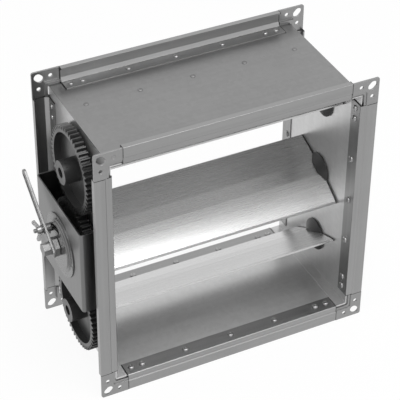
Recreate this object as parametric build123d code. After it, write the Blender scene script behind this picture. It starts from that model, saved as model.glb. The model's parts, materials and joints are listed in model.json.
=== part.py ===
from build123d import *
import math
import os

# Volume control damper for a square ventilation duct, in millimetres.
#
# The origin is the centre of the front flange face, on the duct axis. X runs across
# the duct, with the hand lever on the -X side, Y runs with the air from the front
# flange to the rear one, and Z is up. Three opposed blades turn about axes along X
# and are geared to each other on the left side panel. The blades are drawn partly open.

# How far a cutting tool runs past the face that it cuts.
OVERCUT = 1.0

# ---- casing -----------------------------------------------------------------------
DUCT_WIDTH = 300.0
DUCT_HEIGHT = 300.0
CASING_DEPTH = 172.0
PANEL_SHEET = 1.0
LAP_WIDTH = 12.0
PANEL_END_GAP = 0.5

# ---- flange profile, clasped round the edges of the panels ---------------------------
FLANGE_HEIGHT = 20.0
PROFILE_SHEET = 1.0
LEG_DEPTH = 20.5
LIP_DEPTH = 6.5
MATING_BAND = 13.0
BAND_STEP = 1.0
BEAD_DEPTH = 5.6
INNER_BEND = 1.4

# ---- corner plates ------------------------------------------------------------------
CORNER_LEG = 33.0
CORNER_SHEET = 2.0
CORNER_RIM_WIDTH = 3.0
CORNER_RIM_DEPTH = 5.5
CORNER_OUTER_RADIUS = 2.5
CORNER_INNER_RADIUS = 3.0
SLOT_WIDTH = 9.0
SLOT_LENGTH = 12.0
SLOT_EDGE = 8.5
SCREW_HOLE_RADIUS = 2.5
SCREW_EDGE = 8.0
SCREW_ALONG = 22.5
TONGUE_LENGTH = 12.0
TONGUE_CLEARANCE = 0.4

# ---- blades -------------------------------------------------------------------------
PIVOT_DEPTH = 80.0
BLADE_PITCH = 98.0
BLADE_HALF_CHORD = 48.5
BLADE_HALF_BAND = 9.0
BLADE_HALF_THICK = 5.2
BLADE_SKIN = 1.0
LIP_WIDTH = 2.2
LIP_HALF_THICK = 0.9
GROOVE_DEPTH = 0.4
HOLLOW_TIP = 0.25
REST_ANGLE = 26.0
BLADE_END_GAP = 0.5

# ---- blade end caps and stub shafts ---------------------------------------------------
CAP_THICK = 1.5
CAP_DISC_RADIUS = 20.0
DOME_HEIGHT = 6.0
DOME_TOP_RADIUS = 9.0
NOTCH_CLEARANCE = 0.15
PLUG_LENGTH = 14.0
PLUG_HALF_WIDTH = 8.0
PLUG_CLEARANCE = 0.15
SHAFT_RADIUS = 6.0
SHAFT_SEAT = 5.5
SHAFT_FIT = 0.03
RUNNING_FIT = 0.06

# ---- bushes ---------------------------------------------------------------------------
BUSH_BARREL_RADIUS = 8.0
BUSH_FLANGE_RADIUS = 10.5
BUSH_FLANGE_THICK = 1.4
BUSH_FIT = 0.05
END_BUSH_LENGTH = 8.0
END_BUSH_CLOSURE = 1.5

# ---- gears ----------------------------------------------------------------------------
GEAR_TEETH = 49
PRESSURE_ANGLE = 20.0
BACKLASH = 0.35
TOOTH_ADDENDUM = 1.0
TOOTH_DEDENDUM = 1.25
GEAR_WALL_GAP = 4.0
GEAR_FACE_WIDTH = 11.0
GEAR_RIM_THICK = 5.0
GEAR_WEB = 2.5
GEAR_HUB_RADIUS = 14.0
GEAR_HUB_LENGTH = 21.0
HUB_SOCKET = 6.0

# ---- handle bracket -------------------------------------------------------------------
BRACKET_SHEET = 1.5
BRACKET_STANDOFF = 29.0
BRACKET_FRONT_GAP = 0.5
BRACKET_REAR_GAP = 6.5
BRACKET_HEIGHT = 108.0
BRACKET_BEND = 3.5
BRACKET_CORNER = 4.0
FOOT_WIDTH = 8.0
FOOT_RIVET_RISE = 40.0
SPINDLE_BUSH_FLANGE = 1.6

# ---- quadrant plate -------------------------------------------------------------------
QUADRANT_SHEET = 1.2
QUADRANT_STEP = 1.4
OUTER_STEP_RADIUS = 31.5
INNER_STEP_RADIUS = 28.9
STEP_SLOPE = 1.0
QUADRANT_BORE = 7.0
QUADRANT_RIVET_GAP = 0.5
QUADRANT_RIVET_ANGLES = (75.0, 195.0, 315.0)

# ---- lever and its clamp ----------------------------------------------------------------
LEVER_OFFSET_ANGLE = 11.0
LEVER_REACH = 95.0
LEVER_TAIL = 12.0
LEVER_WIDTH = 10.0
LEVER_SHEET = 3.0
LEVER_EDGE_RADIUS = 1.2
LEVER_GROOVE_WIDTH = 3.6
LEVER_GROOVE_DEPTH = 1.4
LEVER_GROOVE_END = 5.0
STUD_REACH = 23.0
STUD_RADIUS = 2.5
STUD_HEAD_RADIUS = 4.0
STUD_HEAD_THICK = 1.6
STUD_END = 11.0
SLOT_CLEARANCE = 0.5
STUD_FIT = 0.05
STUD_HEAD_FIT = 0.08
SPACER_RADIUS = 5.0
BLOCK_ACROSS_FLATS = 20.0
BLOCK_LENGTH = 5.5
BLOCK_GAP = 0.5
WASHER_THICK = 1.0
WASHER_RADIUS = 6.0
BOLT_RADIUS = 4.0
BOLT_HEAD_ACROSS = 13.0
BOLT_HEAD_THICK = 8.0
BOLT_GRIP = 14.0
BOLT_WASHER_RADIUS = 8.0
WING_NUT_HUB_RADIUS = 4.6
WING_NUT_HUB_LENGTH = 6.0
WING_NUT_TAPER = 0.8
WING_SPAN = 12.0
WING_RISE = 9.0
WING_FOOT_RISE = 5.4
WING_TIP_WIDTH = 3.4
WING_ROOT = 2.3
WING_THICK = 2.0
WING_NUT_GAP = 0.3
WING_ANGLE = 45.0

# ---- blade stops and rivets ---------------------------------------------------------------
STOP_SHEET = 1.0
STOP_LEG = 14.0
STOP_GAP = 0.4
STOP_FOOT = 40.0
STOP_RIVET_SETBACK = 36.0
STOP_END_GAP = 1.0
STOP_RIVET_END = 8.5
STOP_RIVETS = 5
RIVET_HEAD_RADIUS = 3.0
RIVET_HEAD_HEIGHT = 1.0

# ---- sizes that follow from those above ------------------------------------------------------
HALF_WIDTH = DUCT_WIDTH / 2
HALF_HEIGHT = DUCT_HEIGHT / 2
WALL_OUTER = HALF_WIDTH + PANEL_SHEET
ROOF_OUTER = HALF_HEIGHT + PANEL_SHEET
BACK_LAYER = CORNER_SHEET
PANEL_FRONT = BAND_STEP + PROFILE_SHEET + PANEL_END_GAP
CORNER_OVERHANG = CORNER_LEG - FLANGE_HEIGHT
BLADE_END = HALF_WIDTH - BLADE_END_GAP
BLADE_SKIN_END = BLADE_END - CAP_THICK
SHAFT_INNER = BLADE_END - SHAFT_SEAT
GEAR_MODULE = BLADE_PITCH / GEAR_TEETH
GEAR_INNER = WALL_OUTER + GEAR_WALL_GAP
GEAR_OUTER = GEAR_INNER + GEAR_FACE_WIDTH
GEAR_HUB_END = GEAR_INNER + GEAR_HUB_LENGTH
BRACKET_FRONT = LEG_DEPTH + BRACKET_FRONT_GAP
BRACKET_REAR = CASING_DEPTH - LEG_DEPTH - BRACKET_REAR_GAP
BRACKET_FACE = WALL_OUTER + BRACKET_STANDOFF
BRACKET_INNER = BRACKET_FACE - BRACKET_SHEET
QUADRANT_RIVET_RADIUS = OUTER_STEP_RADIUS + QUADRANT_RIVET_GAP + RIVET_HEAD_RADIUS
QUADRANT_RADIUS = QUADRANT_RIVET_RADIUS + RIVET_HEAD_RADIUS
PLATEAU_OUTER = BRACKET_FACE + QUADRANT_SHEET + 2 * QUADRANT_STEP
PLATEAU_INNER = PLATEAU_OUTER - QUADRANT_SHEET
BLOCK_INNER = PLATEAU_OUTER + BLOCK_GAP
LEVER_INNER = BLOCK_INNER + BLOCK_LENGTH
LEVER_OUTER = LEVER_INNER + LEVER_SHEET
WASHER_OUTER = LEVER_OUTER + WASHER_THICK
LEVER_ANGLE = REST_ANGLE + LEVER_OFFSET_ANGLE
STUD_Y = PIVOT_DEPTH + STUD_REACH * math.cos(math.radians(LEVER_ANGLE))
STUD_Z = STUD_REACH * math.sin(math.radians(LEVER_ANGLE))
CLOSED_ANGLE = 90.0

# The sides in order of quarter turns: half the duct across each one, and half its length.
SIDES = {
    "top": (HALF_HEIGHT, HALF_WIDTH),
    "right": (HALF_WIDTH, HALF_HEIGHT),
    "bottom": (HALF_HEIGHT, HALF_WIDTH),
    "left": (HALF_WIDTH, HALF_HEIGHT),
}
QUARTER_ANGLE = 90.0
BLADES = {"top": BLADE_PITCH, "middle": 0.0, "bottom": -BLADE_PITCH}
REST_TURN = {"top": -REST_ANGLE, "middle": REST_ANGLE, "bottom": -REST_ANGLE}
MID_DEPTH = Plane((0, CASING_DEPTH / 2, 0), x_dir=(1, 0, 0), z_dir=(0, 1, 0))


def save(name, shape):
    """Write one node."""
    export_step(shape, os.path.join("parts", name + ".step"))


def polygon(points):
    """A flat face in XY with straight edges."""
    return make_face(Polyline(*points, close=True))


def rounded(face, corner, radius):
    """Round the vertex of a flat face that lies at the given corner."""
    near = face.vertices().sort_by_distance((corner[0], corner[1], 0))[0]
    return fillet(near, radius)


def along_x(face, start, end):
    """Extrude a face drawn with (Y, Z) as its (x, y) from one X to another."""
    return Plane.YZ.offset(start) * extrude(face, amount=end - start)


def rod(radius, start, end, y=0.0, z=0.0):
    """A round bar along X."""
    return along_x(Pos(y, z) * Circle(radius), start, end)


def ring(outer, inner, start, end, y=0.0, z=0.0):
    """A round tube along X."""
    return along_x(Pos(y, z) * (Circle(outer) - Circle(inner)), start, end)


def on_pivot(shape, height):
    """Move a shape that is drawn round the X axis to a blade's pivot."""
    return Pos(0, PIVOT_DEPTH, height) * shape


def flip_x(shape):
    """The same shape on the other side of the duct."""
    return mirror(shape, about=Plane.YZ)


def to_rear(shape):
    """The same shape at the other end of the casing."""
    return mirror(shape, about=MID_DEPTH)


def rivet_head():
    """The round head of a rivet, seated on a sheet at Z = 0. Its shank is not drawn."""
    return extrude(Circle(RIVET_HEAD_RADIUS), amount=RIVET_HEAD_HEIGHT)


# ---- flange profile and corner plates ---------------------------------------------------------
def profile_section():
    """The rolled profile, drawn as (depth from the face, height from the duct wall)."""
    t = PROFILE_SHEET
    step_foot = FLANGE_HEIGHT - MATING_BAND - BAND_STEP / 2
    step_head = step_foot + BAND_STEP
    back = BACK_LAYER + t
    slope = math.atan2(BEAD_DEPTH - back, step_foot - 2 * t)
    inner_run = t * (1 - math.sin(slope)) / math.cos(slope)
    bead_foot = BEAD_DEPTH - inner_run
    bead_top = 2 * t + (step_foot - 2 * t) * (BEAD_DEPTH - BACK_LAYER) / (BEAD_DEPTH - back)
    bead_top = bead_top - t / math.sin(slope)
    section = polygon(
        [
            (LEG_DEPTH, -t),
            (BAND_STEP, -t),
            (BAND_STEP, step_foot),
            (0, step_head),
            (0, FLANGE_HEIGHT),
            (LIP_DEPTH, FLANGE_HEIGHT),
            (LIP_DEPTH, FLANGE_HEIGHT - 2 * t),
            (back, FLANGE_HEIGHT - 2 * t),
            (back, step_foot),
            (BEAD_DEPTH, 2 * t),
            (LEG_DEPTH, 2 * t),
            (LEG_DEPTH, t),
            (bead_foot, t),
            (BACK_LAYER, bead_top),
            (BACK_LAYER, 0),
            (LEG_DEPTH, 0),
        ]
    )
    section = rounded(section, (BAND_STEP, -t), INNER_BEND)
    section = rounded(section, (0, FLANGE_HEIGHT), t / 2)
    channel = polygon(
        [
            (t, step_head),
            (t, FLANGE_HEIGHT - 2 * t),
            (BACK_LAYER, FLANGE_HEIGHT - 2 * t),
            (BACK_LAYER, step_head),
        ]
    )
    return section - channel


def flange_profile(side):
    """One length of profile on the front edge of the casing."""
    turn = QUARTER_ANGLE * list(SIDES).index(side)
    offset, half_span = SIDES[side]
    half_length = half_span - CORNER_OVERHANG
    bar = along_x(profile_section(), -half_length, half_length)
    return Rotation(0, turn, 0) * (Pos(0, 0, offset) * bar)


def corner_outline(inner, leg):
    """An L drawn with (X, Z) outward from the corner of the duct."""
    outer = FLANGE_HEIGHT
    start = outer - leg
    return polygon(
        [
            (outer, outer),
            (start, outer),
            (start, inner),
            (inner, inner),
            (inner, start),
            (outer, start),
        ]
    )


def corner_plate(sign_x, sign_z):
    """A corner plate on the front edge, with two tongues in the profiles beside it."""
    outer = FLANGE_HEIGHT
    rim_outer = FLANGE_HEIGHT - MATING_BAND - CORNER_RIM_WIDTH / 2
    rim_inner = rim_outer - CORNER_RIM_WIDTH
    plate = corner_outline(rim_outer, CORNER_LEG)
    plate = rounded(plate, (outer, outer), CORNER_OUTER_RADIUS)
    plate = rounded(plate, (rim_outer, rim_outer), CORNER_INNER_RADIUS)
    rim = corner_outline(rim_inner, CORNER_LEG)
    rim = rounded(rim, (rim_inner, rim_inner), CORNER_INNER_RADIUS)
    rim = rim - corner_outline(rim_outer, CORNER_LEG)
    slot_at = outer - SLOT_EDGE
    holes = Pos(slot_at, slot_at) * Rot(0, 0, 45) * SlotOverall(SLOT_LENGTH, SLOT_WIDTH)
    screw = Circle(SCREW_HOLE_RADIUS)
    holes += Pos(outer - SCREW_ALONG, outer - SCREW_EDGE) * screw
    holes += Pos(outer - SCREW_EDGE, outer - SCREW_ALONG) * screw
    solid = extrude(plate - holes, amount=CORNER_SHEET)
    solid += Pos(0, 0, BAND_STEP) * extrude(rim, amount=CORNER_RIM_DEPTH - BAND_STEP)
    tongue_low = outer - MATING_BAND + BAND_STEP / 2 + TONGUE_CLEARANCE
    tongue_high = outer - 2 * PROFILE_SHEET - TONGUE_CLEARANCE
    tongue_mid = (tongue_low + tongue_high) / 2
    tongue_end = outer - CORNER_LEG - TONGUE_LENGTH / 2
    thick = BACK_LAYER - PROFILE_SHEET
    for x, z, turn in ((tongue_end, tongue_mid, 0), (tongue_mid, tongue_end, 90)):
        tongue = Rot(0, 0, turn) * Rectangle(TONGUE_LENGTH, tongue_high - tongue_low)
        solid += Pos(x, z, PROFILE_SHEET) * extrude(tongue, amount=thick)
    # The outline is drawn in XY and stands up into XZ with its thickness along +Y.
    upright = Plane((0, 0, 0), x_dir=(-1, 0, 0), z_dir=(0, 1, 0)) * solid
    upright = mirror(upright, about=Plane.YZ)
    upright = Pos(HALF_WIDTH, 0, HALF_HEIGHT) * upright
    if sign_x < 0:
        upright = mirror(upright, about=Plane.YZ)
    if sign_z < 0:
        upright = mirror(upright, about=Plane.XY)
    return upright


# ---- casing panels ----------------------------------------------------------------------------
def stop_rivet_places():
    """X of the rivets that hold a blade stop."""
    end = HALF_WIDTH - LAP_WIDTH - STOP_END_GAP - STOP_RIVET_END
    return [end * (2 * i / (STOP_RIVETS - 1) - 1) for i in range(STOP_RIVETS)]


def bracket_rivet_places():
    """(Y, Z) of the rivets through the feet of the handle bracket."""
    inset = BRACKET_SHEET + FOOT_WIDTH / 2
    ends = (BRACKET_FRONT + inset, BRACKET_REAR - inset)
    return [(y, side * FOOT_RIVET_RISE) for y in ends for side in (-1, 1)]


def flat_panel(low):
    """A panel across the duct that lies above the given height."""
    sheet = Rectangle(2 * WALL_OUTER, CASING_DEPTH - 2 * PANEL_FRONT)
    return Pos(0, CASING_DEPTH / 2, low) * extrude(sheet, amount=PANEL_SHEET)


def side_panel(sign):
    """A side panel with a lap under the top panel and one over the bottom panel."""
    lap = HALF_WIDTH - LAP_WIDTH
    inner_top = HALF_HEIGHT - PANEL_SHEET
    section = polygon(
        [
            (lap, HALF_HEIGHT),
            (WALL_OUTER, HALF_HEIGHT),
            (WALL_OUTER, -HALF_HEIGHT),
            (lap, -HALF_HEIGHT),
            (lap, -inner_top),
            (HALF_WIDTH, -inner_top),
            (HALF_WIDTH, inner_top),
            (lap, inner_top),
        ]
    )
    length = CASING_DEPTH - 2 * PANEL_FRONT
    panel = Plane((0, PANEL_FRONT, 0), x_dir=(-1, 0, 0), z_dir=(0, 1, 0)) * extrude(section, amount=length)
    if sign > 0:
        panel = flip_x(panel)
    through = (sign * (HALF_WIDTH - PANEL_SHEET), sign * (WALL_OUTER + PANEL_SHEET))
    low, high = min(through), max(through)
    for height in BLADES.values():
        panel -= rod(BUSH_BARREL_RADIUS + BUSH_FIT, low, high, PIVOT_DEPTH, height)
    return panel


# ---- blades -----------------------------------------------------------------------------------
def blade_outline():
    """Outer shape of a blade across its length, with (Y, Z) as its (x, y)."""
    groove = BLADE_HALF_CHORD - LIP_WIDTH
    shoulder = LIP_HALF_THICK + GROOVE_DEPTH
    upper = [
        (-BLADE_HALF_CHORD, LIP_HALF_THICK),
        (-groove, LIP_HALF_THICK),
        (-groove, shoulder),
        (-BLADE_HALF_BAND, BLADE_HALF_THICK),
        (BLADE_HALF_BAND, BLADE_HALF_THICK),
        (groove, shoulder),
        (groove, LIP_HALF_THICK),
        (BLADE_HALF_CHORD, LIP_HALF_THICK),
    ]
    lower = [(y, -z) for y, z in reversed(upper)]
    return polygon(upper + lower)


def blade_hollow():
    """The space between the two skins of a blade."""
    half = BLADE_HALF_THICK - BLADE_SKIN
    slope = (BLADE_HALF_THICK - LIP_HALF_THICK) / (BLADE_HALF_CHORD - LIP_WIDTH - BLADE_HALF_BAND)
    tip = BLADE_HALF_BAND + (half - HOLLOW_TIP) / slope
    return polygon(
        [
            (-tip, HOLLOW_TIP),
            (-BLADE_HALF_BAND, half),
            (BLADE_HALF_BAND, half),
            (tip, HOLLOW_TIP),
            (tip, -HOLLOW_TIP),
            (BLADE_HALF_BAND, -half),
            (-BLADE_HALF_BAND, -half),
            (-tip, -HOLLOW_TIP),
        ]
    )


def dome(clearance=0.0):
    """The dished boss of the right end cap, with its base at the blade's end."""
    base = CAP_DISC_RADIUS + clearance
    top = DOME_TOP_RADIUS + clearance
    height = DOME_HEIGHT + clearance
    crown = Plane.YZ.offset(BLADE_SKIN_END - height)
    return loft([Plane.YZ.offset(BLADE_SKIN_END) * Circle(base), crown * Circle(top)])


def blade_skin():
    """A blade lying open on the X axis, notched round the bosses of its caps."""
    skin = along_x(blade_outline() - blade_hollow(), -BLADE_SKIN_END, BLADE_SKIN_END)
    notch = dome(NOTCH_CLEARANCE)
    return skin - notch - flip_x(notch)


def end_cap():
    """The right end cap: a plate over the blade's end, a domed boss and a plug."""
    plate = along_x(blade_outline(), BLADE_SKIN_END, BLADE_END)
    plate += rod(CAP_DISC_RADIUS, BLADE_SKIN_END, BLADE_END)
    plug_half = BLADE_HALF_THICK - BLADE_SKIN - PLUG_CLEARANCE
    plug = Rectangle(2 * PLUG_HALF_WIDTH, 2 * plug_half)
    plug = along_x(plug, BLADE_SKIN_END - PLUG_LENGTH, BLADE_SKIN_END)
    cap = plate + dome() + plug
    return cap - rod(SHAFT_RADIUS + SHAFT_FIT, SHAFT_INNER, BLADE_END + OVERCUT)


# ---- gears ------------------------------------------------------------------------------------
def involute(radius, base_radius):
    """The angle in radians from the start of an involute to where it meets a radius."""
    reach = math.sqrt(max((radius / base_radius) ** 2 - 1, 0.0))
    return reach - math.atan(reach)


def gear_outline(phase):
    """Involute teeth, with one tooth centred at an angle in radians from the +Y side."""
    pitch_radius = BLADE_PITCH / 2
    base_radius = pitch_radius * math.cos(math.radians(PRESSURE_ANGLE))
    root = pitch_radius - TOOTH_DEDENDUM * GEAR_MODULE
    tip = pitch_radius + TOOTH_ADDENDUM * GEAR_MODULE
    half_tooth = math.pi / (2 * GEAR_TEETH) - BACKLASH / (4 * pitch_radius)
    at_pitch = involute(pitch_radius, base_radius)
    flank = []
    for radius in (root, pitch_radius, tip):
        flank.append((radius, half_tooth + at_pitch - involute(max(radius, base_radius), base_radius)))
    points = []
    for tooth in range(GEAR_TEETH):
        centre = phase + 2 * math.pi * tooth / GEAR_TEETH
        around = [(r, centre - a) for r, a in flank] + [(r, centre + a) for r, a in reversed(flank)]
        points += [(r * math.cos(a), r * math.sin(a)) for r, a in around]
    return polygon(points)


def gear_phase(blade):
    """Where a gear has its tooth, so that a tooth always meets a gap on the line of centres."""
    half_tooth = math.pi / GEAR_TEETH
    if blade == "top":
        return -math.pi / 2 + half_tooth
    if blade == "bottom" and GEAR_TEETH % 2 == 0:
        return math.pi / 2 + half_tooth
    return math.pi / 2


def gear(blade):
    """A gear with a deep web and a long hub, on the -X side of the X axis."""
    root = BLADE_PITCH / 2 - TOOTH_DEDENDUM * GEAR_MODULE
    body = along_x(gear_outline(gear_phase(blade)), -GEAR_OUTER, -GEAR_INNER)
    web_face = GEAR_INNER + GEAR_WEB
    body -= rod(root - GEAR_RIM_THICK + TOOTH_DEDENDUM, -GEAR_OUTER - OVERCUT, -web_face)
    body += rod(GEAR_HUB_RADIUS, -GEAR_HUB_END, -GEAR_INNER)
    return body - rod(SHAFT_RADIUS + SHAFT_FIT, -GEAR_HUB_END - OVERCUT, -GEAR_INNER + OVERCUT)


# ---- bushes -----------------------------------------------------------------------------------
def wall_bush():
    """A flanged bush in the left side panel, under the gear."""
    bush = rod(BUSH_BARREL_RADIUS, -WALL_OUTER, -HALF_WIDTH)
    bush += rod(BUSH_FLANGE_RADIUS, -WALL_OUTER - BUSH_FLANGE_THICK, -WALL_OUTER)
    start = -WALL_OUTER - BUSH_FLANGE_THICK - OVERCUT
    return bush - rod(SHAFT_RADIUS + RUNNING_FIT, start, -HALF_WIDTH + OVERCUT)


def end_bush():
    """A closed bush in the right side panel."""
    outer = WALL_OUTER + END_BUSH_LENGTH + END_BUSH_CLOSURE
    bush = rod(BUSH_BARREL_RADIUS, HALF_WIDTH, outer)
    bush += rod(BUSH_FLANGE_RADIUS, WALL_OUTER, WALL_OUTER + BUSH_FLANGE_THICK)
    return bush - rod(SHAFT_RADIUS + RUNNING_FIT, HALF_WIDTH - OVERCUT, WALL_OUTER + END_BUSH_LENGTH)


def spindle_bush():
    """A flanged bush for the spindle in the handle bracket, with its flange inside."""
    bush = rod(BUSH_BARREL_RADIUS, -BRACKET_FACE, -BRACKET_INNER)
    bush += rod(BUSH_FLANGE_RADIUS, -BRACKET_INNER, -BRACKET_INNER + SPINDLE_BUSH_FLANGE)
    return bush - rod(SHAFT_RADIUS + RUNNING_FIT, -BRACKET_FACE - OVERCUT, -GEAR_HUB_END)


# ---- handle bracket and quadrant ----------------------------------------------------------------
def handle_bracket():
    """A folded bracket over the middle gear, open at the top and at the bottom."""
    half = (BRACKET_REAR - BRACKET_FRONT) / 2
    foot = half - BRACKET_SHEET - FOOT_WIDTH
    outer = [(WALL_OUTER, -foot), (WALL_OUTER, -half), (BRACKET_FACE, -half)]
    outer += [(BRACKET_FACE, half), (WALL_OUTER, half), (WALL_OUTER, foot)]
    inner_wall = half - BRACKET_SHEET
    foot_top = WALL_OUTER + BRACKET_SHEET
    inner = [(foot_top, foot), (foot_top, inner_wall), (BRACKET_INNER, inner_wall)]
    inner += [(BRACKET_INNER, -inner_wall), (foot_top, -inner_wall), (foot_top, -foot)]
    section = polygon([(-x, y) for x, y in outer + inner])
    for y in (-half, half):
        section = rounded(section, (-BRACKET_FACE, y), BRACKET_BEND)
    for y in (-inner_wall, inner_wall):
        section = rounded(section, (-BRACKET_INNER, y), BRACKET_BEND - BRACKET_SHEET)
    body = Pos(0, BRACKET_FRONT + half, -BRACKET_HEIGHT / 2) * extrude(section, amount=BRACKET_HEIGHT)
    bore = BUSH_BARREL_RADIUS + BUSH_FIT
    return body - rod(bore, -BRACKET_FACE - OVERCUT, -BRACKET_INNER + OVERCUT, PIVOT_DEPTH)


def quadrant_rivet_places():
    """(Y, Z) of the rivets round the rim of the quadrant plate."""
    places = []
    for angle in QUADRANT_RIVET_ANGLES:
        a = math.radians(angle)
        y = PIVOT_DEPTH + QUADRANT_RIVET_RADIUS * math.cos(a)
        places.append((y, QUADRANT_RIVET_RADIUS * math.sin(a)))
    return places


def quadrant_plate():
    """A pressed plate with stepped rings and the arc slot of the clamp stud."""
    t = QUADRANT_SHEET
    outer = [
        (QUADRANT_RADIUS, 0),
        (QUADRANT_RADIUS, t),
        (OUTER_STEP_RADIUS, t),
        (OUTER_STEP_RADIUS - STEP_SLOPE, t + QUADRANT_STEP),
        (INNER_STEP_RADIUS, t + QUADRANT_STEP),
        (INNER_STEP_RADIUS - STEP_SLOPE, t + 2 * QUADRANT_STEP),
        (QUADRANT_BORE, t + 2 * QUADRANT_STEP),
    ]
    hollow = INNER_STEP_RADIUS - STEP_SLOPE - t / 2
    inner = [(QUADRANT_BORE, 2 * QUADRANT_STEP), (hollow, 2 * QUADRANT_STEP), (hollow, 0)]
    section = polygon([(r, BRACKET_FACE + h) for r, h in outer + inner])
    disc = revolve(section, Axis.Y)
    disc = Rotation(0, 0, 90) * disc
    open_angle = LEVER_OFFSET_ANGLE
    closed_angle = LEVER_OFFSET_ANGLE + CLOSED_ANGLE
    arc = CenterArc((0, 0), STUD_REACH, open_angle, closed_angle - open_angle)
    slot = SlotArc(arc, 2 * (STUD_RADIUS + SLOT_CLEARANCE))
    disc -= along_x(slot, -PLATEAU_OUTER - OVERCUT, -BRACKET_FACE - QUADRANT_STEP)
    return on_pivot(disc, 0)


# ---- lever and clamp --------------------------------------------------------------------------
def at_lever(shape):
    """Turn a shape drawn along +Y to the lever's rest angle on the middle pivot."""
    return Pos(0, PIVOT_DEPTH, 0) * (Rotation(LEVER_ANGLE, 0, 0) * shape)


def hand_lever():
    """A pressed lever with round ends, rounded outer edges and a groove along its outer face."""
    length = LEVER_REACH + LEVER_TAIL
    middle = (LEVER_REACH - LEVER_TAIL) / 2
    outline = Pos(middle, 0) * SlotOverall(length, LEVER_WIDTH)
    outline -= Circle(BOLT_RADIUS + STUD_FIT)
    outline -= Pos(STUD_REACH, 0) * Circle(STUD_RADIUS + STUD_FIT)
    bar = along_x(outline, -LEVER_OUTER, -LEVER_INNER)
    rim = bar.faces().sort_by(Axis.X)[0].outer_wire().edges()
    bar = fillet(rim, LEVER_EDGE_RADIUS)
    groove_start = STUD_REACH + WASHER_RADIUS + 2 * STUD_FIT
    groove_end = LEVER_REACH - LEVER_GROOVE_END
    groove = SlotOverall(groove_end - groove_start, LEVER_GROOVE_WIDTH)
    groove = Pos((groove_start + groove_end) / 2, 0) * groove
    bar -= along_x(groove, -LEVER_OUTER - OVERCUT, -LEVER_OUTER + LEVER_GROOVE_DEPTH)
    return at_lever(bar)


def wing_nut():
    """A wing nut: a conical hub with two wings that rise outward."""
    base = WASHER_OUTER + WING_NUT_GAP
    top = base + WING_NUT_HUB_LENGTH
    hub = [
        (0, base),
        (WING_NUT_HUB_RADIUS, base),
        (WING_NUT_HUB_RADIUS, base + WING_NUT_HUB_LENGTH / 3),
        (WING_NUT_HUB_RADIUS * WING_NUT_TAPER, top),
        (0, top),
    ]
    nut = Rotation(0, 0, 90) * revolve(polygon(hub), Axis.Y)
    wing = [
        (WING_ROOT, base + WING_THICK),
        (WING_NUT_HUB_RADIUS, base + WING_THICK),
        (WING_SPAN, base + WING_FOOT_RISE),
        (WING_SPAN, base + WING_RISE),
        (WING_SPAN - WING_TIP_WIDTH, base + WING_RISE),
        (WING_ROOT, top - WING_THICK / 2),
    ]
    face = polygon(wing)
    face = rounded(face, (WING_SPAN, base + WING_RISE), WING_THICK)
    blade = Pos(0, 0, -WING_THICK / 2) * extrude(face, amount=WING_THICK)
    for turn in (0, 180):
        nut += Rotation(turn, 0, 0) * (Rotation(0, 0, 90) * blade)
    nut -= rod(STUD_RADIUS + STUD_FIT, -top - WING_RISE, -base + OVERCUT)
    return Pos(0, STUD_Y, STUD_Z) * (Rotation(WING_ANGLE, 0, 0) * nut)


def hexagon(across_flats):
    """A regular hexagon by its width across flats."""
    return RegularPolygon(across_flats / 2, 6, major_radius=False)


# ---- blade stops --------------------------------------------------------------------------------
def stop_face_offset():
    """How far a stop stands behind the pivots, to meet the closed blade above its tip."""
    reach = HALF_HEIGHT - BLADE_PITCH - STOP_LEG
    taper = (BLADE_HALF_THICK - LIP_HALF_THICK) / (BLADE_HALF_CHORD - LIP_WIDTH - BLADE_HALF_BAND)
    thickness = LIP_HALF_THICK + GROOVE_DEPTH + taper * (BLADE_HALF_CHORD - LIP_WIDTH - reach)
    return max(thickness, LIP_HALF_THICK) + STOP_GAP


def blade_stop():
    """A stop under the top panel: a leg beside the closed blade and a riveted foot."""
    face = stop_face_offset()
    low = HALF_HEIGHT - STOP_LEG
    section = polygon(
        [
            (face, low),
            (face, HALF_HEIGHT),
            (face + STOP_FOOT, HALF_HEIGHT),
            (face + STOP_FOOT, HALF_HEIGHT - STOP_SHEET),
            (face + STOP_SHEET, HALF_HEIGHT - STOP_SHEET),
            (face + STOP_SHEET, low),
        ]
    )
    half_length = HALF_WIDTH - LAP_WIDTH - STOP_END_GAP
    return Pos(0, PIVOT_DEPTH, 0) * along_x(section, -half_length, half_length)


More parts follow.
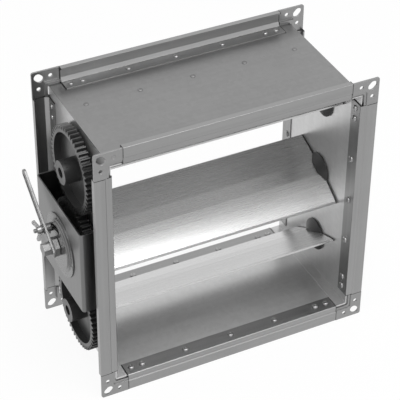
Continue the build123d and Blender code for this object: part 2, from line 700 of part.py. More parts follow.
def build():
    """Model every node and write it."""
    save("top_panel", flat_panel(HALF_HEIGHT))
    save("bottom_panel", flat_panel(-ROOF_OUTER))
    save("left_panel", side_panel(-1))
    save("right_panel", side_panel(1))

    for side in SIDES:
        profile = flange_profile(side)
        save(f"front_flange_{side}", profile)
        save(f"rear_flange_{side}", to_rear(profile))
    for row, sign_z in (("top", 1), ("bottom", -1)):
        for column, sign_x in (("left", -1), ("right", 1)):
            plate = corner_plate(sign_x, sign_z)
            save(f"front_corner_{row}_{column}", plate)
            save(f"rear_corner_{row}_{column}", to_rear(plate))

    save("blade_stop", blade_stop())
    rivet_y = PIVOT_DEPTH + STOP_RIVET_SETBACK
    heads = [Pos(x, rivet_y, ROOF_OUTER) * rivet_head() for x in stop_rivet_places()]
    save("stop_rivets", Compound(heads))

    skin = blade_skin()
    right_cap = end_cap()
    left_cap = flip_x(right_cap)
    stub = rod(SHAFT_RADIUS, -GEAR_HUB_END + HUB_SOCKET, -SHAFT_INNER)
    end_stub = rod(SHAFT_RADIUS, SHAFT_INNER, WALL_OUTER + END_BUSH_LENGTH - RUNNING_FIT)
    spindle = rod(SHAFT_RADIUS, -LEVER_INNER, -SHAFT_INNER)
    spindle -= rod(BOLT_RADIUS + STUD_FIT, -LEVER_INNER - OVERCUT, -LEVER_OUTER + BOLT_GRIP + OVERCUT)
    for name, height in BLADES.items():
        turn = Rotation(REST_TURN[name], 0, 0)
        save(f"{name}_blade", on_pivot(turn * skin, height))
        save(f"{name}_left_cap", on_pivot(turn * left_cap, height))
        save(f"{name}_right_cap", on_pivot(turn * right_cap, height))
        save(f"{name}_gear", on_pivot(gear(name), height))
        shaft = spindle if name == "middle" else stub
        save("drive_spindle" if name == "middle" else f"{name}_left_shaft", on_pivot(shaft, height))
        save(f"{name}_right_shaft", on_pivot(end_stub, height))
        save(f"{name}_left_bush", on_pivot(wall_bush(), height))
        save(f"{name}_right_bush", on_pivot(end_bush(), height))

    save("handle_bracket", handle_bracket())
    save("spindle_bush", on_pivot(spindle_bush(), 0))
    save("quadrant_plate", quadrant_plate())
    outward = Rotation(0, -90, 0) * rivet_head()
    heads = [Pos(-WALL_OUTER - BRACKET_SHEET, y, z) * outward for y, z in bracket_rivet_places()]
    heads += [Pos(-BRACKET_FACE - QUADRANT_SHEET, y, z) * outward for y, z in quadrant_rivet_places()]
    save("bracket_rivets", Compound(heads))

    block = hexagon(BLOCK_ACROSS_FLATS) - Circle(SHAFT_RADIUS + SHAFT_FIT)
    save("lever_block", at_lever(along_x(block, -LEVER_INNER, -BLOCK_INNER)))
    save("hand_lever", hand_lever())
    washer = ring(BOLT_WASHER_RADIUS, BOLT_RADIUS + STUD_FIT, -WASHER_OUTER, -LEVER_OUTER)
    save("lever_washer", on_pivot(washer, 0))
    bolt = along_x(hexagon(BOLT_HEAD_ACROSS), -WASHER_OUTER - BOLT_HEAD_THICK, -WASHER_OUTER)
    bolt += rod(BOLT_RADIUS, -WASHER_OUTER, -LEVER_OUTER + BOLT_GRIP)
    save("lever_bolt", at_lever(bolt))

    at_stud = Pos(0, STUD_Y, STUD_Z)
    head_face = -PLATEAU_INNER + STUD_HEAD_FIT
    stud = rod(STUD_HEAD_RADIUS, head_face, head_face + STUD_HEAD_THICK)
    stud += rod(STUD_RADIUS, -LEVER_OUTER - STUD_END, head_face)
    save("clamp_stud", at_stud * stud)
    spacer = ring(SPACER_RADIUS, STUD_RADIUS + STUD_FIT, -LEVER_INNER, -PLATEAU_OUTER - WING_NUT_GAP)
    save("clamp_spacer", at_stud * spacer)
    clamp_washer = ring(WASHER_RADIUS, STUD_RADIUS + STUD_FIT, -WASHER_OUTER, -LEVER_OUTER)
    save("clamp_washer", at_stud * clamp_washer)
    save("wing_nut", wing_nut())


build()
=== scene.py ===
import json
import math

import bmesh
import bpy
from bpy.props import FloatProperty, FloatVectorProperty, IntProperty, PointerProperty
from mathutils import Matrix, Vector


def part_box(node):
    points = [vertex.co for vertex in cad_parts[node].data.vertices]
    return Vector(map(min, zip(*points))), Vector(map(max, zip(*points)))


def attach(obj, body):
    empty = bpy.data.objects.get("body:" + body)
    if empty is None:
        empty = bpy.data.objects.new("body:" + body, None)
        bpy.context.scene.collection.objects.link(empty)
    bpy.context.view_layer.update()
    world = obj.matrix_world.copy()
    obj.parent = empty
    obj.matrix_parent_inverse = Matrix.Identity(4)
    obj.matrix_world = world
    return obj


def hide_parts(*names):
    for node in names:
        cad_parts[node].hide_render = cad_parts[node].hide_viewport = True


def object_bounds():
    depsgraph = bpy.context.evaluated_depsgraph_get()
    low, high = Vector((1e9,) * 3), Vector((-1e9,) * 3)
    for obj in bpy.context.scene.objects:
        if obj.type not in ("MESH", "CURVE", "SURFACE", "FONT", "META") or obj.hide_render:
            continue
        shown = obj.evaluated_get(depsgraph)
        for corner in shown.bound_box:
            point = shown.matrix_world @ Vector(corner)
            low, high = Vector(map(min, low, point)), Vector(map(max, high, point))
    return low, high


bl_info = {
    "name": "Volume control damper",
    "version": (1, 0, 0),
    "blender": (4, 5, 0),
    "location": "View3D > Sidebar > Damper",
    "description": "Dresses the packed damper in its finishes and small fasteners",
    "category": "Object",
}

MM = 0.001
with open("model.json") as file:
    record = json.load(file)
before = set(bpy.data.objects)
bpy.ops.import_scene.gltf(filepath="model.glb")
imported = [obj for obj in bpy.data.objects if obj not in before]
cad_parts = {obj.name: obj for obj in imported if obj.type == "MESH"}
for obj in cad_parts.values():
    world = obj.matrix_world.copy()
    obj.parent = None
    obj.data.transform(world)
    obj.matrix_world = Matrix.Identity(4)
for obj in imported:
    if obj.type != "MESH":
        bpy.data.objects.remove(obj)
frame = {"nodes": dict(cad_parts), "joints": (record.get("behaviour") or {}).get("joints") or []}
CAD_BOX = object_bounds()
NODES = frame["nodes"]
JOINTS = {joint["name"]: joint for joint in frame["joints"]}

FLANGE_SIDES = ("top", "right", "bottom", "left")
SIDE_TURN = {"top": 0.0, "right": 90.0, "bottom": 180.0, "left": 270.0}
LEAVES = ("top", "middle", "bottom")
PIVOT = {leaf: Vector(JOINTS[f"{leaf}_pivot"]["pos_m"]) for leaf in LEAVES}
DUCT_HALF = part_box("left_panel")[1].z
FACE_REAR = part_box("rear_flange_top")[1].y

# The width of the painted shadow line at the cut end of a profile, where it meets the corner plate, and the outer
# leg's height above the duct wall
PAINTED_GAP_SHADOW_WIDTH = 0.0008
OUTER_LEG = 0.002

# Segments round a clinch point and round a rivet head
CLINCH_SEGMENTS = 20
RIVET_SEGMENTS = 28

# The direction of the lamp from the damper, and where the camera stands
LAMP_TOWARD = Vector((0.0, -0.35, 0.937))
CAMERA_PLACE = Vector((-0.6881, -1.2779, 1.1682))
CAMERA_TARGET = Vector((-0.0047, 0.0860, 0.0002))
CAMERA_ROLL = 0.56
CAMERA_SENSOR = 36.0
CAMERA_SIGHT = 20.0

# The floor: half its side, its own tone, and how much of it the camera sees as plain white
FLOOR_REACH = 6.0
FLOOR_TONE = 0.9
FLOOR_WHITE = 0.93


# ---- shader arithmetic ---------------------------------------------------------------


class Wire:
    """One socket of a node tree, which adds nodes as ordinary arithmetic is done on it."""

    def __init__(self, tree, socket):
        self.tree = tree
        self.socket = socket

    def maths(self, operation, *values):
        """A Math node over sockets and numbers."""
        return self.tree.node("ShaderNodeMath", {"operation": operation}, dict(enumerate(values)))

    def __add__(self, other):
        return self.maths("ADD", self, other)

    __radd__ = __add__

    def __sub__(self, other):
        return self.maths("SUBTRACT", self, other)

    def __rsub__(self, other):
        return self.maths("SUBTRACT", other, self)

    def __mul__(self, other):
        return self.maths("MULTIPLY", self, other)

    __rmul__ = __mul__

    def __gt__(self, other):
        return self.maths("GREATER_THAN", self, other)

    def band(self, low, high):
        """0 below low, 1 above high, and a smooth step between them."""
        settings = {"interpolation_type": "SMOOTHSTEP"}
        values = {"Value": self, "From Min": low, "From Max": high}
        return self.tree.node("ShaderNodeMapRange", settings, values, output="Result")

    def either(self, other):
        """The larger of two masks."""
        return self.maths("MAXIMUM", self, other)


class Finish:
    """A node tree under construction, for a material or the world."""

    def __init__(self, owner):
        owner.use_nodes = True
        self.owner = owner
        self.nodes = owner.node_tree.nodes
        self.links = owner.node_tree.links
        self.nodes.clear()

    def node(self, kind, settings=None, values=None, output=0):
        """Add a node: its settings first, then the values or links of its sockets."""
        made = self.nodes.new(kind)
        for key, value in (settings or {}).items():
            setattr(made, key, value)
        for key, value in (values or {}).items():
            if isinstance(value, Wire):
                self.links.new(value.socket, made.inputs[key])
            else:
                made.inputs[key].default_value = value
        return Wire(self, made.outputs[output]) if made.outputs else None

    def place(self, scale=(1.0, 1.0, 1.0)):
        """The place on the piece in metres, stretched along each axis."""
        spot = self.node("ShaderNodeTexCoord", output="Object")
        return self.node("ShaderNodeVectorMath", {"operation": "MULTIPLY"}, {0: spot, 1: scale})

    def noise(self, scale, stretch, detail, roughness=0.5):
        """Fractal noise, with scale in cells per metre before the stretch."""
        values = {"Vector": self.place(stretch), "Scale": scale, "Detail": detail, "Roughness": roughness}
        return self.node("ShaderNodeTexNoise", {}, values, output="Fac")

    def cells(self, scale):
        """A random value for each of the crystals of a zinc coat."""
        values = {"Vector": self.place(), "Scale": scale}
        return self.node("ShaderNodeTexVoronoi", {}, values, output="Color")

    def blend(self, factor, low, high):
        """Mix two colours by a mask."""
        settings = {"data_type": "RGBA", "clamp_factor": True}
        values = {0: factor, 6: low, 7: high}
        return self.node("ShaderNodeMix", settings, values, output=2)

    def bump(self, height, strength, distance, over):
        """Turn a height into a normal, over another normal."""
        values = {"Height": height, "Strength": strength, "Distance": distance, "Normal": over}
        return self.node("ShaderNodeBump", {}, values, output="Normal")

    def soft_edges(self, radius):
        """A normal that rounds sharp edges by a small radius."""
        return self.node("ShaderNodeBevel", {"samples": 4}, {"Radius": radius}, output="Normal")

    def surface(self, values):
        """Close the tree with one shader."""
        shader = self.node("ShaderNodeBsdfPrincipled", {}, values, output="BSDF")
        self.node("ShaderNodeOutputMaterial", {}, {"Surface": shader})
        return self.owner


def shade(colour, factor):
    """A colour times a factor, with alpha 1."""
    return tuple(min(1.0, channel * factor) for channel in colour[:3]) + (1.0,)


def rolled_sheet(name, colour, grain, roughness, crystals=0.0, streaks=0.12, edge=0.35, metallic=1.0, cut=0.0):
    """Rolled zinc-coated steel: grain along one axis, faint crystals, stains and scratches,
    and a painted shadow line at the ends where a length is cut at a distance from the middle, standing in for the gap
    where it meets the next part."""
    tree = Finish(bpy.data.materials.new(name))
    along = {"X": (0.02, 1.0, 1.0), "Y": (1.0, 0.02, 1.0), "Z": (1.0, 1.0, 0.02)}[grain]
    fine = tree.noise(1500.0, along, 2.0)
    broad = tree.noise(160.0, along, 3.0)
    cloud = tree.noise(14.0, (1.0, 1.0, 1.0), 4.0, 0.6)
    scratch = tree.noise(900.0, tuple(0.03 if s == 1.0 else 1.0 for s in along), 1.0)
    hairline = scratch.band(0.72, 0.76)
    tone = 0.5 + (broad - 0.5) * (6.0 * streaks) + (cloud - 0.5) * 0.5
    if crystals:
        tone = tone + (tree.cells(210.0) - 0.5) * crystals
    base = tree.blend(tone.band(0.0, 1.0), shade(colour, 0.90), shade(colour, 1.10))
    base = tree.blend(hairline * 0.25, base, shade(colour, 1.3))
    # A dark band at each cut end: painted shadow of the gap between the profile and the corner plate.
    if cut:
        along_it = tree.node("ShaderNodeSeparateXYZ", {}, {0: tree.place()}, output=grain)
        base = tree.blend(along_it.maths("ABSOLUTE", along_it) > cut - PAINTED_GAP_SHADOW_WIDTH, base, shade(colour, 0.15))
    rough = roughness + (fine - 0.5) * 0.12 + (cloud - 0.5) * 0.10
    normal = tree.bump(fine + broad * 0.6, 0.06, 0.0001, tree.soft_edges(edge * MM))
    return tree.surface({"Base Color": base, "Metallic": metallic, "Roughness": rough, "Normal": normal})


def turned_plate(name, colour, roughness, centre):
    """Pressed plate whose fine polish runs in rings round a centre, so its shine fans out."""
    tree = Finish(bpy.data.materials.new(name))
    spot = tree.node("ShaderNodeTexCoord", output="Object")
    offset = tree.node("ShaderNodeVectorMath", {"operation": "SUBTRACT"}, {0: spot, 1: tuple(centre)})
    flat = tree.node("ShaderNodeVectorMath", {"operation": "MULTIPLY"}, {0: offset, 1: (0.0, 1.0, 1.0)})
    radius = tree.node("ShaderNodeVectorMath", {"operation": "LENGTH"}, {0: flat}, output="Value")
    values = {"W": radius, "Scale": 2600.0, "Detail": 2.0}
    rings = tree.node("ShaderNodeTexNoise", {"noise_dimensions": "1D"}, values, output="Fac")
    cloud = tree.noise(60.0, (1.0, 1.0, 1.0), 4.0, 0.6)
    base = tree.blend(cloud.band(0.3, 0.7), shade(colour, 0.88), shade(colour, 1.10))
    rough = roughness + (rings - 0.5) * 0.2 + (cloud - 0.5) * 0.12
    normal = tree.bump(rings, 0.5, 0.0001, tree.soft_edges(0.5 * MM))
    return tree.surface({"Base Color": base, "Metallic": 1.0, "Roughness": rough, "Normal": normal})


def drawn_aluminium(name, colour, roughness):
    """Extruded blade skin with die lines along its length."""
    tree = Finish(bpy.data.materials.new(name))
    die_lines = tree.noise(2600.0, (0.004, 1.0, 1.0), 2.0)
    bands = tree.noise(240.0, (0.01, 1.0, 1.0), 2.0)
    cloud = tree.noise(20.0, (0.3, 1.0, 1.0), 3.0)
    tone = 0.5 + (bands - 0.5) * 0.6 + (cloud - 0.5) * 0.4
    base = tree.blend(tone.band(0.0, 1.0), shade(colour, 0.93), shade(colour, 1.05))
    rough = roughness + (die_lines - 0.5) * 0.10 + (cloud - 0.5) * 0.04
    normal = tree.bump(die_lines + bands * 0.3, 0.02, 0.0001, tree.soft_edges(0.25 * MM))
    return tree.surface({"Base Color": base, "Metallic": 0.85, "Roughness": rough, "Normal": normal})


def moulded_plastic(name, colour, roughness):
    """Black moulded plastic with a fine texture and a little dust."""
    tree = Finish(bpy.data.materials.new(name))
    grain = tree.noise(2400.0, (1.0, 1.0, 1.0), 2.0)
    flow = tree.noise(60.0, (1.0, 1.0, 1.0), 4.0, 0.6)
    dust = flow.band(0.55, 0.75) * 0.35
    base = tree.blend(dust, shade(colour, 1.0), shade(colour, 2.2))
    rough = roughness + (flow - 0.5) * 0.25
    normal = tree.bump(grain, 0.15, 0.0001, tree.soft_edges(0.3 * MM))
    return tree.surface({"Base Color": base, "Roughness": rough, "Normal": normal})


def plated_steel(name, colour, roughness, edge=0.25):
    """Bright zinc plating on small turned or pressed parts."""
    tree = Finish(bpy.data.materials.new(name))
    grain = tree.noise(1800.0, (1.0, 1.0, 1.0), 2.0)
    cloud = tree.noise(130.0, (1.0, 1.0, 1.0), 3.0, 0.6)
    base = tree.blend(cloud.band(0.3, 0.7), shade(colour, 0.86), shade(colour, 1.12))
    rough = roughness + (grain - 0.5) * 0.18 + (cloud - 0.5) * 0.16
    normal = tree.bump(grain + cloud, 0.10, 0.0001, tree.soft_edges(edge * MM))
    return tree.surface({"Base Color": base, "Metallic": 1.0, "Roughness": rough, "Normal": normal})


def finish_nodes(material, *names):
    """Give CAD nodes one material."""
    for name in names:
        mesh = NODES[name].data
        mesh.materials.clear()
        mesh.materials.append(material)


# ---- small meshes ---------------------------------------------------------------------


def loose_parts(node):
    """The (lowest corner, highest corner) of each separate solid of a CAD node."""
    mesh = NODES[node].data
    group = list(range(len(mesh.vertices)))

    def leader(index):
        while group[index] != index:
            group[index] = group[group[index]]
            index = group[index]
        return index

    by_place = {}
    for vertex in mesh.vertices:
        key = tuple(round(c, 6) for c in vertex.co)
        first = by_place.setdefault(key, vertex.index)
        group[leader(vertex.index)] = leader(first)
    for edge in mesh.edges:
        group[leader(edge.vertices[0])] = leader(edge.vertices[1])
    boxes = {}
    for vertex in mesh.vertices:
        low, high = boxes.setdefault(leader(vertex.index), (vertex.co.copy(), vertex.co.copy()))
        for axis in range(3):
            low[axis] = min(low[axis], vertex.co[axis])
            high[axis] = max(high[axis], vertex.co[axis])
    return list(boxes.values())


def piece(name, build, material, body, sharp):
    """A mesh object made by a function on a bmesh, riding on a body."""
    made = bmesh.new()
    build(made)
    bmesh.ops.remove_doubles(made, verts=made.verts, dist=1e-7)
    bmesh.ops.recalc_face_normals(made, faces=made.faces)
    mesh = bpy.data.meshes.new(name)
    made.to_mesh(mesh)
    made.free()
    mesh.materials.append(material)
    mesh.shade_smooth()
    mesh.set_sharp_from_angle(angle=math.radians(sharp))
    thing = bpy.data.objects.new(name, mesh)
    bpy.context.scene.collection.objects.link(thing)
    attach(thing, body)
    return thing


def lathe(made, profile, place, segments):
    """Turn a profile of (radius, height) round the local Z axis of a placement."""
    rings = []
    for radius, height in profile:
        if radius == 0.0:
            rings.append([made.verts.new(place @ Vector((0, 0, height)))])
            continue
        turn = [2 * math.pi * i / segments for i in range(segments)]
        spots = [Vector((radius * math.cos(a), radius * math.sin(a), height)) for a in turn]
        rings.append([made.verts.new(place @ spot) for spot in spots])
    for low, high in zip(rings, rings[1:]):
        for i in range(segments):
            j = (i + 1) % segments
            corners = [low[i % len(low)], low[j % len(low)], high[j % len(high)], high[i % len(high)]]
            made.faces.new(list(dict.fromkeys(corners)))


def side_place(side, rear, along, depth, height):
    """A placement on a flange: along it, deep behind its face, above the duct wall, Z outward."""
    y = FACE_REAR - depth if rear else depth
    local = Matrix.Translation(Vector((along, y, DUCT_HALF + height)))
    return Matrix.Rotation(math.radians(SIDE_TURN[side]), 4, "Y") @ local


# ---- settings ---------------------------------------------------------------------------


class FinishSettings(bpy.types.PropertyGroup):
    """Colours of the damper's finishes."""

    # The roof colour is painted shade: the top panel is the same zinc sheet as the other panels, set darker to stand
    # in for the dim light it reflects.
    roof_painted_shade: FloatVectorProperty(
        name="Roof", description="Shaded top panel", subtype="COLOR", size=3, default=(0.27, 0.27, 0.27)
    )
    sheet: FloatVectorProperty(
        name="Sheet", description="Zinc-coated panels", subtype="COLOR", size=3, default=(0.62, 0.62, 0.62)
    )
    profile: FloatVectorProperty(
        name="Profile", description="Rolled flange profiles", subtype="COLOR", size=3, default=(0.32, 0.32, 0.32)
    )
    corner: FloatVectorProperty(
        name="Corner plates", description="Pressed corner plates", subtype="COLOR", size=3, default=(0.31, 0.31, 0.31)
    )
    bracket: FloatVectorProperty(
        name="Bracket", description="Bracket and quadrant", subtype="COLOR", size=3, default=(0.18, 0.18, 0.18)
    )
    blade: FloatVectorProperty(
        name="Blades", description="Extruded blade skins", subtype="COLOR", size=3, default=(0.56, 0.56, 0.56)
    )
    plastic: FloatVectorProperty(
        name="Plastic", description="Gears, caps and bushes", subtype="COLOR", size=3, default=(0.030, 0.030, 0.030)
    )
    zinc: FloatVectorProperty(
        name="Fasteners", description="Plated small parts", subtype="COLOR", size=3, default=(0.25, 0.25, 0.25)
    )


class ClinchSettings(bpy.types.PropertyGroup):
    """Sizes of the clinch points that fix the flange profiles to the panels."""

    head: FloatProperty(
        name="Head radius", description="Radius of the round head inside the duct", default=0.0038, unit="LENGTH"
    )
    rise: FloatProperty(
        name="Head height", description="How far the head stands up", default=0.0019, unit="LENGTH"
    )
    tail: FloatProperty(
        name="Tail radius", description="Radius of the tail outside the duct", default=0.0028, unit="LENGTH"
    )
    depth: FloatProperty(
        name="Depth", description="Distance from the flange face", default=0.0125, unit="LENGTH"
    )
    outer: FloatProperty(
        name="Outer place", description="Distance of the outermost point from the middle", default=0.128, unit="LENGTH"
    )
    pair: FloatProperty(
        name="Pair spacing", description="Distance between the two points near each end", default=0.014, unit="LENGTH"
    )
    middle: FloatProperty(
        name="Middle place", description="Distance of the inner points from the middle", default=0.0585, unit="LENGTH"
    )


class LeverSettings(bpy.types.PropertyGroup):
    """Sizes of the clamp stud of the hand lever."""

    thread: FloatProperty(
        name="Thread pitch", description="Pitch of the clamp stud's thread", default=0.0008, unit="LENGTH"
    )
    rounds: IntProperty(name="Segments", description="Segments round turned parts", default=40, min=12, max=96)


class StudioSettings(bpy.types.PropertyGroup):
    """Camera and light."""

    lens: FloatProperty(name="Lens", description="Focal length", default=150.4, subtype="DISTANCE_CAMERA")
    room: FloatProperty(name="Room", description="Level of the plain light from all round", default=0.60)
    lamp: FloatProperty(name="Lamp", description="Power of the wide lamp above the front, in watts", default=36.0)
    lamp_size: FloatProperty(name="Lamp size", description="Side of the square lamp", default=1.7, unit="LENGTH")
    lamp_away: FloatProperty(
        name="Lamp distance", description="Distance of the lamp from the damper", default=2.2, unit="LENGTH"
    )


# ---- operators ----------------------------------------------------------------------------


class DAMPER_OT_casing_panels(bpy.types.Operator):
    """Finish the four zinc-coated panels and the blade stop"""

    bl_idname = "damper.casing_panels"
    bl_label = "Casing panels"

    def execute(self, context):
        colour = context.scene.damper_finish.sheet
        # The top panel gets a darker copy of the zinc sheet, which is painted shade.
        roof_painted_shade = rolled_sheet("zinc sheet, roof", context.scene.damper_finish.roof_painted_shade, "X", 0.32, 0.25, 0.07)
        flat = rolled_sheet("zinc sheet", colour, "X", 0.32, crystals=0.25, streaks=0.07, metallic=0.8)
        upright = rolled_sheet("zinc sheet, upright", colour, "Z", 0.32, crystals=0.25, streaks=0.07, metallic=0.8)
        finish_nodes(roof_painted_shade, "top_panel")
        finish_nodes(flat, "bottom_panel", "blade_stop")
        finish_nodes(upright, "left_panel", "right_panel")
        return {"FINISHED"}


class DAMPER_OT_flange_profiles(bpy.types.Operator):
    """Finish the flange profiles"""

    bl_idname = "damper.flange_profiles"
    bl_label = "Flange profiles"

    def execute(self, context):
        colour = context.scene.damper_finish.profile
        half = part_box("front_flange_top")[1].x
        # Each profile gets a painted shadow line at its cut ends.
        level = rolled_sheet("profile, level", colour, "X", 0.34, streaks=0.16, cut=half)
        upright = rolled_sheet("profile, upright", colour, "Z", 0.34, streaks=0.16, cut=half)
        for side in FLANGE_SIDES:
            material = level if side in ("top", "bottom") else upright
            finish_nodes(material, f"front_flange_{side}", f"rear_flange_{side}")
        return {"FINISHED"}


class DAMPER_OT_clinch_points(bpy.types.Operator):
    """Add the clinch points along the legs of the flange profiles"""

    bl_idname = "damper.clinch_points"
    bl_label = "Clinch points"

    def execute(self, context):
        sizes = context.scene.damper_clinch
        colour = context.scene.damper_finish.profile
        material = plated_steel("clinch points", shade(colour, 1.15), 0.30)
        places = [sizes.outer, sizes.outer - sizes.pair, sizes.middle]
        places = sorted(places + [-p for p in places] + [0.0])
        head = self.button(sizes.head, sizes.rise)
        tail = self.button(sizes.tail, 0.7 * sizes.rise)
        over = Matrix.Rotation(math.pi, 4, "X")
        inner_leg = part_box("front_flange_top")[0].z - DUCT_HALF
        for end, rear in (("front", False), ("rear", True)):
            for side in FLANGE_SIDES:

                def build(made, side=side, rear=rear):
                    for along in places:
                        inside = side_place(side, rear, along, sizes.depth, inner_leg)
                        lathe(made, head, inside @ over, CLINCH_SEGMENTS)
                        outside = side_place(side, rear, along, sizes.depth, OUTER_LEG)
                        lathe(made, tail, outside, CLINCH_SEGMENTS)

                piece(f"{end}_clinch_points_{side}", build, material, "casing", 50.0)
        return {"FINISHED"}

    @staticmethod
    def button(radius, rise):
        """A low domed button with a small dimple, seated a little into the sheet."""
        sunk = -0.0003
        return [
            (0.0, sunk),
            (radius, sunk),
            (radius, 0.25 * rise),
            (0.9 * radius, 0.7 * rise),
            (0.68 * radius, rise),
            (0.42 * radius, 0.92 * rise),
            (0.25 * radius, 0.7 * rise),
            (0.0, 0.62 * rise),
        ]


class DAMPER_OT_corner_plates(bpy.types.Operator):
    """Finish the eight pressed corner plates"""

    bl_idname = "damper.corner_plates"
    bl_label = "Corner plates"

    def execute(self, context):
        colour = context.scene.damper_finish.corner
        material = rolled_sheet("corner plate", colour, "X", 0.36, streaks=0.08, edge=0.5)
        names = [name for name in NODES if "_corner_" in name]
        finish_nodes(material, *names)
        return {"FINISHED"}


class DAMPER_OT_blades(bpy.types.Operator):
    """Finish the three blades and their end caps"""

    bl_idname = "damper.blades"
    bl_label = "Blades and caps"

    def execute(self, context):
        finish = context.scene.damper_finish
        skin = drawn_aluminium("blade skin", finish.blade, 0.27)
        cap = moulded_plastic("end cap", finish.plastic, 0.42)
        for leaf in LEAVES:
            finish_nodes(skin, f"{leaf}_blade")
            finish_nodes(cap, f"{leaf}_left_cap", f"{leaf}_right_cap")
        return {"FINISHED"}


class DAMPER_OT_gear_train(bpy.types.Operator):
    """Finish the three gears"""

    bl_idname = "damper.gear_train"
    bl_label = "Gear train"

    def execute(self, context):
        material = moulded_plastic("gear nylon", context.scene.damper_finish.plastic, 0.32)
        finish_nodes(material, *[f"{leaf}_gear" for leaf in LEAVES])
        return {"FINISHED"}


class DAMPER_OT_shafts_and_bushes(bpy.types.Operator):
    """Finish the stub shafts, the drive spindle and the bushes they run in"""

    bl_idname = "damper.shafts_and_bushes"
    bl_label = "Shafts and bushes"

    def execute(self, context):
        finish = context.scene.damper_finish
        steel = plated_steel("turned shaft", finish.zinc, 0.28)
        plastic = moulded_plastic("bush", finish.plastic, 0.45)
        finish_nodes(steel, "top_left_shaft", "bottom_left_shaft", "drive_spindle")
        for leaf in LEAVES:
            finish_nodes(steel, f"{leaf}_right_shaft")
            finish_nodes(plastic, f"{leaf}_left_bush", f"{leaf}_right_bush")
        finish_nodes(plastic, "spindle_bush")
        return {"FINISHED"}


class DAMPER_OT_handle_bracket(bpy.types.Operator):
    """Finish the folded bracket, the quadrant plate and the rivets"""

    bl_idname = "damper.handle_bracket"
    bl_label = "Handle bracket"

    def execute(self, context):
        finish = context.scene.damper_finish
        folded = rolled_sheet("folded bracket", finish.bracket, "Z", 0.33, streaks=0.12, edge=0.5)
        pressed = turned_plate("pressed quadrant", finish.bracket, 0.27, PIVOT["middle"])
        rivet = plated_steel("rivets", finish.zinc, 0.32)
        finish_nodes(folded, "handle_bracket")
        finish_nodes(pressed, "quadrant_plate")
        self.heads("bracket_rivets", Vector((-1, 0, 0)), rivet)
        # The stop rivets on the top panel take its painted-shade colour, darkened further to 0.8 of it.
        dull = plated_steel("dull rivets", shade(finish.roof_painted_shade, 0.8), 0.55)
        self.heads("stop_rivets", Vector((0, 0, 1)), dull)
        return {"FINISHED"}

    @staticmethod
    def heads(node, outward, material):
        """Domed rivet heads in the place of a node's plain ones."""
        upright = Vector((0, 0, 1)).rotation_difference(outward).to_matrix().to_4x4()

        def build(made):
            for low, high in loose_parts(node):
                size = high - low
                rise = abs(size.dot(outward))
                radius = max(size) / 2
                foot = (low + high) / 2 - outward * rise / 2
                profile = [
                    (0.0, 0.0),
                    (radius, 0.0),
                    (0.98 * radius, 0.3 * rise),
                    (0.85 * radius, 0.7 * rise),
                    (0.6 * radius, 0.93 * rise),
                    (0.3 * radius, rise),
                    (0.0, rise),
                ]
                lathe(made, profile, Matrix.Translation(foot) @ upright, RIVET_SEGMENTS)

        thing = piece(f"{node}_domed", build, material, "casing", 50.0)
        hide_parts(node)


class DAMPER_OT_hand_lever(bpy.types.Operator):
    """Finish the hand lever, its block, bolt and washer"""

    bl_idname = "damper.hand_lever"
    bl_label = "Hand lever"

    def execute(self, context):
        finish = context.scene.damper_finish
        pressed = plated_steel("pressed lever", finish.zinc, 0.36, 0.6)
        cast = plated_steel("lever block", finish.zinc, 0.36, 0.4)
        finish_nodes(pressed, "hand_lever")
        finish_nodes(cast, "lever_block", "lever_bolt", "lever_washer")
        return {"FINISHED"}


class DAMPER_OT_clamp(bpy.types.Operator):
    """Finish the wing nut, its stud, washer and spacer"""

    bl_idname = "damper.clamp"
    bl_label = "Wing nut clamp"

    def execute(self, context):
        material = plated_steel("clamp zinc", context.scene.damper_finish.zinc, 0.27, 0.3)
        finish_nodes(material, "wing_nut", "clamp_spacer", "clamp_washer")
        pitch = context.scene.damper_lever.thread
        segments = context.scene.damper_lever.rounds
        low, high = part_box("clamp_stud")
        head = (high.y - low.y) / 2
        shank = 0.0025
        head_thick = 0.0016
        chamfer = 0.0003
        point = 0.0006
        groove = 0.4 * pitch
        middle = (low + high) / 2
        length = high.x - low.x
        thread_start = high.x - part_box("hand_lever")[0].x
        profile = [(0.0, 0.0), (head - chamfer, 0.0), (head, chamfer), (head, head_thick), (shank, head_thick)]
        along = thread_start
        profile.append((shank, along))
        while along < length - 2 * pitch:
            profile += [(shank - groove, along + pitch / 2), (shank, along + pitch)]
            along += pitch
        profile += [(shank, length - point), (shank - point, length), (0.0, length)]
        place = Matrix.Translation(Vector((high.x, middle.y, middle.z))) @ Matrix.Rotation(-math.pi / 2, 4, "Y")

        def build(made):
            lathe(made, profile, place, segments)

        thing = piece("clamp_stud_threaded", build, material, "middle_leaf", 25.0)
        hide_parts("clamp_stud")
        return {"FINISHED"}


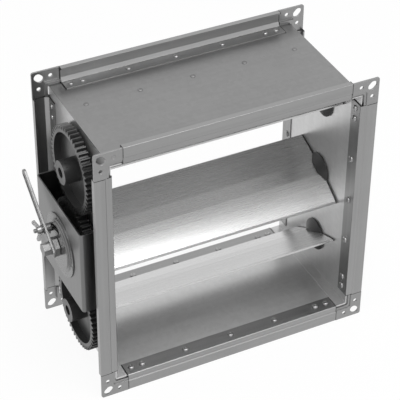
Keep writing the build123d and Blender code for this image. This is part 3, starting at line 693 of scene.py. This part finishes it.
class DAMPER_OT_studio(bpy.types.Operator):
    """Set up the floor, the light and the camera"""

    bl_idname = "damper.studio"
    bl_label = "Studio"

    def execute(self, context):
        studio = context.scene.damper_studio
        self.floor()
        self.world(context.scene, studio)
        self.lamp(context.scene, studio)
        self.camera(context.scene, studio)
        context.scene.view_settings.view_transform = "Standard"
        return {"FINISHED"}

    @staticmethod
    def rays(tree):
        """Masks of the camera's rays, and of the glossy and transmission rays."""
        camera = tree.node("ShaderNodeLightPath", output="Is Camera Ray")
        glossy = tree.node("ShaderNodeLightPath", output="Is Glossy Ray")
        through = tree.node("ShaderNodeLightPath", output="Is Transmission Ray")
        return camera, glossy.either(through)

    def floor(self):
        """A wide pale floor, white to the camera and to metal, that keeps a soft shadow."""
        low = CAD_BOX[0][2]
        mesh = bpy.data.meshes.new("floor")
        corners = [(x * FLOOR_REACH, y * FLOOR_REACH, low) for x, y in ((-1, -1), (1, -1), (1, 1), (-1, 1))]
        mesh.from_pydata(corners, [], [(0, 1, 2, 3)])
        thing = bpy.data.objects.new("floor", mesh)
        bpy.context.scene.collection.objects.link(thing)
        tree = Finish(bpy.data.materials.new("pale floor"))
        camera, glossy = self.rays(tree)
        tone = (FLOOR_TONE, FLOOR_TONE, FLOOR_TONE, 1.0)
        matt = tree.node("ShaderNodeBsdfDiffuse", {}, {"Color": tone}, output="BSDF")
        glow = tree.node("ShaderNodeEmission", {}, {"Color": (1, 1, 1, 1), "Strength": 1.0}, output="Emission")
        factor = (camera * FLOOR_WHITE).either(glossy)
        mixed = tree.node("ShaderNodeMixShader", {}, {0: factor, 1: matt, 2: glow}, output="Shader")
        tree.node("ShaderNodeOutputMaterial", {}, {"Surface": mixed})
        mesh.materials.append(tree.owner)

    def world(self, scene, studio):
        """White to the camera and to metal, and a plain even light to all else."""
        world = bpy.data.worlds.new("studio")
        scene.world = world
        tree = Finish(world)
        camera, glossy = self.rays(tree)
        background = camera.either(glossy)
        level = background + (1 - background) * studio.room
        shader = tree.node("ShaderNodeBackground", {}, {"Color": (1, 1, 1, 1), "Strength": level}, output="Background")
        tree.node("ShaderNodeOutputWorld", {}, {"Surface": shader})

    @staticmethod
    def lamp(scene, studio):
        """One wide square lamp above the front, out of the camera's sight."""
        data = bpy.data.lights.new("wide lamp", "AREA")
        data.energy = studio.lamp
        data.size = studio.lamp_size
        thing = bpy.data.objects.new("wide lamp", data)
        place = LAMP_TOWARD * studio.lamp_away
        thing.matrix_world = Matrix.Translation(place) @ (-place).to_track_quat("-Z", "Y").to_matrix().to_4x4()
        thing.visible_camera = False
        scene.collection.objects.link(thing)

    @staticmethod
    def camera(scene, studio):
        """The camera that looks down on the front and the hand lever."""
        data = bpy.data.cameras.new("camera")
        data.lens = studio.lens
        data.sensor_width = CAMERA_SENSOR
        data.clip_end = CAMERA_SIGHT
        thing = bpy.data.objects.new("camera", data)
        look = (CAMERA_TARGET - CAMERA_PLACE).to_track_quat("-Z", "Y").to_matrix().to_4x4()
        roll = Matrix.Rotation(math.radians(CAMERA_ROLL), 4, "Z")
        thing.matrix_world = Matrix.Translation(CAMERA_PLACE) @ look @ roll
        scene.collection.objects.link(thing)
        scene.camera = thing


OPERATORS = (
    DAMPER_OT_casing_panels,
    DAMPER_OT_flange_profiles,
    DAMPER_OT_clinch_points,
    DAMPER_OT_corner_plates,
    DAMPER_OT_blades,
    DAMPER_OT_gear_train,
    DAMPER_OT_shafts_and_bushes,
    DAMPER_OT_handle_bracket,
    DAMPER_OT_hand_lever,
    DAMPER_OT_clamp,
    DAMPER_OT_studio,
)


class DAMPER_PT_sidebar(bpy.types.Panel):
    """The damper's pieces, finishes and studio"""

    bl_idname = "DAMPER_PT_sidebar"
    bl_label = "Volume control damper"
    bl_space_type = "VIEW_3D"
    bl_region_type = "UI"
    bl_category = "Damper"

    def draw(self, context):
        for operator in OPERATORS:
            self.layout.operator(operator.bl_idname)
        for group in SETTINGS:
            box = self.layout.box()
            settings = getattr(context.scene, group)
            for key in settings.bl_rna.properties.keys():
                if key not in ("rna_type", "name"):
                    box.prop(settings, key)


SETTINGS = {
    "damper_finish": FinishSettings,
    "damper_clinch": ClinchSettings,
    "damper_lever": LeverSettings,
    "damper_studio": StudioSettings,
}
CLASSES = tuple(SETTINGS.values()) + OPERATORS + (DAMPER_PT_sidebar,)


def register():
    """Add the classes and the settings to Blender."""
    for each in CLASSES:
        bpy.utils.register_class(each)
    for name, group in SETTINGS.items():
        setattr(bpy.types.Scene, name, PointerProperty(type=group))


def unregister():
    """Take the settings and the classes out of Blender."""
    for name in SETTINGS:
        delattr(bpy.types.Scene, name)
    for each in reversed(CLASSES):
        bpy.utils.unregister_class(each)


def main():
    """Register the add-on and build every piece."""
    register()
    for operator in OPERATORS:
        family, name = operator.bl_idname.split(".")
        getattr(getattr(bpy.ops, family), name)()


if __name__ == "__main__":
    main()
